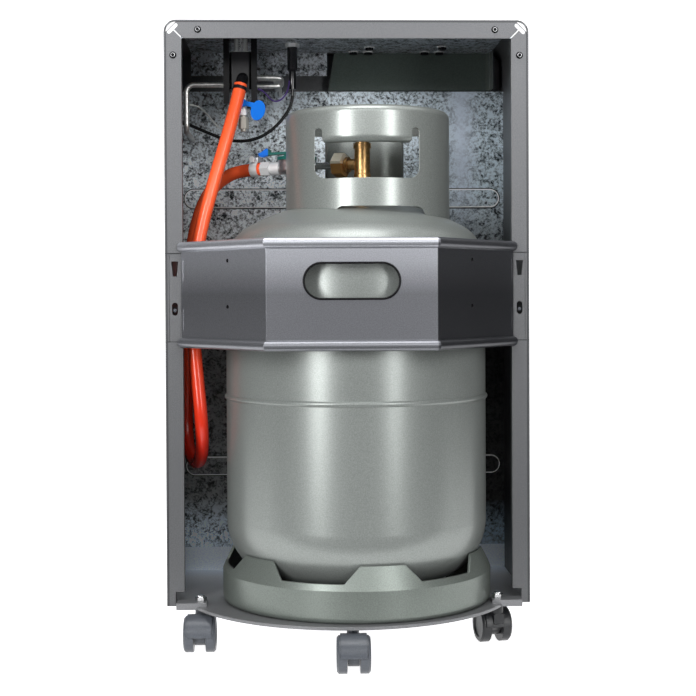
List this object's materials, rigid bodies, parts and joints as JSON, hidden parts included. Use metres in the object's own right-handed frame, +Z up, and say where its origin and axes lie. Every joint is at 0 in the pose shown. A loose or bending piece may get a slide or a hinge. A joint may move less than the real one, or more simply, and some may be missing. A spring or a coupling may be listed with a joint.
{
  "type": "portable gas cabinet heater",
  "caption": "Portable gas cabinet heater on castors, rear open, with a gas cylinder standing on its tray behind a lift-off retaining bracket.",
  "frame": {"origin": "on the floor, under the centre of the overall box", "axes": "+Z up; the open rear with the cylinder faces -Y, the radiant front with its wire guard faces +Y; +X is the viewer's right when looking at the open rear"},
  "size_m": [0.414, 0.4076, 0.7258],
  "materials": {
    "dark_paint": "fine-textured satin paint",
    "galvanised": "spangled zinc coating",
    "cylinder_paint": "satin paint",
    "brass": "machined",
    "bright_steel": "bright zinc plate",
    "die_cast": "as cast",
    "black_enamel": "semi-gloss enamel",
    "black_plastic": "moulded",
    "castor_plastic": "moulded",
    "axle_steel": "turned",
    "blue_plastic": "moulded",
    "hose_rubber": "smooth",
    "lead_rubber": "smooth",
    "ceramic": "pressed, matt"
  },
  "bodies": {
    "root": {"base_tray": "dark_paint", "bracket_studs": "bright_steel", "burner_box": "galvanised", "cabinet_wrapper": "dark_paint", "castor_nuts": "bright_steel", "castor_stems": "bright_steel", "ceramic_plaques": "ceramic", "cylinder_collar": "cylinder_paint", "cylinder_foot_ring": "cylinder_paint", "cylinder_valve": "brass", "cylinder_vessel": "cylinder_paint", "frame_screws": "black_enamel", "front_fascia": "dark_paint", "gas_hose": "hose_rubber", "gas_manifold": "bright_steel", "gas_pipes": "bright_steel", "gas_valve": "black_enamel", "guard_rails": "bright_steel", "guard_uprights": "bright_steel", "hose_clip_regulator": "bright_steel", "hose_clip_valve": "bright_steel", "igniter_body": "black_plastic", "igniter_lead": "lead_rubber", "igniter_nut": "bright_steel", "inlet_elbow": "black_enamel", "pilot_burner": "ceramic", "rear_wall": "galvanised", "regulator_body": "die_cast", "regulator_bonnet": "die_cast", "regulator_nut": "brass", "regulator_stem": "bright_steel", "regulator_tail": "bright_steel", "roof_bolts": "bright_steel", "roof_liner": "galvanised", "tap_body": "bright_steel", "upper_heat_shield": "dark_paint", "valve_bracket": "black_enamel"},
    "castor_rear_left": {"castor_housing_rear_left": "castor_plastic", "castor_axle_rear_left": "axle_steel"},
    "wheels_rear_left": {"castor_wheels_rear_left": "castor_plastic"},
    "castor_rear_right": {"castor_housing_rear_right": "castor_plastic", "castor_axle_rear_right": "axle_steel"},
    "wheels_rear_right": {"castor_wheels_rear_right": "castor_plastic"},
    "castor_tongue": {"castor_housing_tongue": "castor_plastic", "castor_axle_tongue": "axle_steel"},
    "wheels_tongue": {"castor_wheels_tongue": "castor_plastic"},
    "castor_front_left": {"castor_housing_front_left": "castor_plastic", "castor_axle_front_left": "axle_steel"},
    "wheels_front_left": {"castor_wheels_front_left": "castor_plastic"},
    "castor_front_right": {"castor_housing_front_right": "castor_plastic", "castor_axle_front_right": "axle_steel"},
    "wheels_front_right": {"castor_wheels_front_right": "castor_plastic"},
    "bracket": {"retaining_bracket": "dark_paint"},
    "knob": {"control_knob": "black_plastic", "valve_spindle": "axle_steel"},
    "igniter_push": {"igniter_button": "black_plastic"},
    "handwheel": {"valve_handwheel": "black_plastic"},
    "tap": {"tap_lever": "blue_plastic"},
    "reg_lever": {"regulator_lever": "blue_plastic"}
  },
  "joints": [
    {"name": "castor_swivel_rear_left", "type": "hinge", "parent": "root", "child": "castor_rear_left", "pos_m": [-0.168, -0.06479, 0.04], "axis": [0, 0, 1], "continuous": true},
    {"name": "wheel_roll_rear_left", "type": "hinge", "parent": "castor_rear_left", "child": "wheels_rear_left", "pos_m": [-0.168, -0.08179, 0.02], "axis": [-1, 0, 0], "continuous": true},
    {"name": "castor_swivel_rear_right", "type": "hinge", "parent": "root", "child": "castor_rear_right", "pos_m": [0.168, -0.06479, 0.04], "axis": [0, 0, 1], "continuous": true},
    {"name": "wheel_roll_rear_right", "type": "hinge", "parent": "castor_rear_right", "child": "wheels_rear_right", "pos_m": [0.16447, -0.04816, 0.02], "axis": [0.9781, 0.2079, 0], "continuous": true},
    {"name": "castor_swivel_tongue", "type": "hinge", "parent": "root", "child": "castor_tongue", "pos_m": [0, -0.16479, 0.04], "axis": [0, 0, 1], "continuous": true},
    {"name": "wheel_roll_tongue", "type": "hinge", "parent": "castor_tongue", "child": "wheels_tongue", "pos_m": [0, -0.18179, 0.02], "axis": [-1, 0, 0], "continuous": true},
    {"name": "castor_swivel_front_left", "type": "hinge", "parent": "root", "child": "castor_front_left", "pos_m": [-0.168, 0.15521, 0.04], "axis": [0, 0, 1], "continuous": true},
    {"name": "wheel_roll_front_left", "type": "hinge", "parent": "castor_front_left", "child": "wheels_front_left", "pos_m": [-0.168, 0.17221, 0.02], "axis": [1, 0, 0], "continuous": true},
    {"name": "castor_swivel_front_right", "type": "hinge", "parent": "root", "child": "castor_front_right", "pos_m": [0.168, 0.15521, 0.04], "axis": [0, 0, 1], "continuous": true},
    {"name": "wheel_roll_front_right", "type": "hinge", "parent": "castor_front_right", "child": "wheels_front_right", "pos_m": [0.168, 0.17221, 0.02], "axis": [1, 0, 0], "continuous": true},
    {"name": "bracket_lift", "type": "slide", "parent": "root", "child": "bracket", "axis": [0, 0, 1], "range_m": [0, 0.03]},
    {"name": "knob_turn", "type": "hinge", "parent": "root", "child": "knob", "pos_m": [-0.1243, 0.05121, 0.71], "axis": [0, 0, -1], "range_deg": [0, 180]},
    {"name": "igniter_press", "type": "slide", "parent": "root", "child": "igniter_push", "axis": [0, 0, -1], "range_m": [0, 0.005], "stiffness_N_per_m": 400, "springref_m": -0.002},
    {"name": "handwheel_turn", "type": "hinge", "parent": "root", "child": "handwheel", "pos_m": [0.0186, -0.01979, 0.585], "axis": [0, 0, 1], "range_deg": [0, 720]},
    {"name": "tap_turn", "type": "hinge", "parent": "root", "child": "tap", "pos_m": [-0.1208, 0.03421, 0.627], "axis": [0, 1, 0], "range_deg": [0, 60]},
    {"name": "regulator_lever_turn", "type": "hinge", "parent": "root", "child": "reg_lever", "pos_m": [-0.05733, 0.02058, 0.57], "axis": [0, 0, -1], "range_deg": [0, 45]}
  ]
}
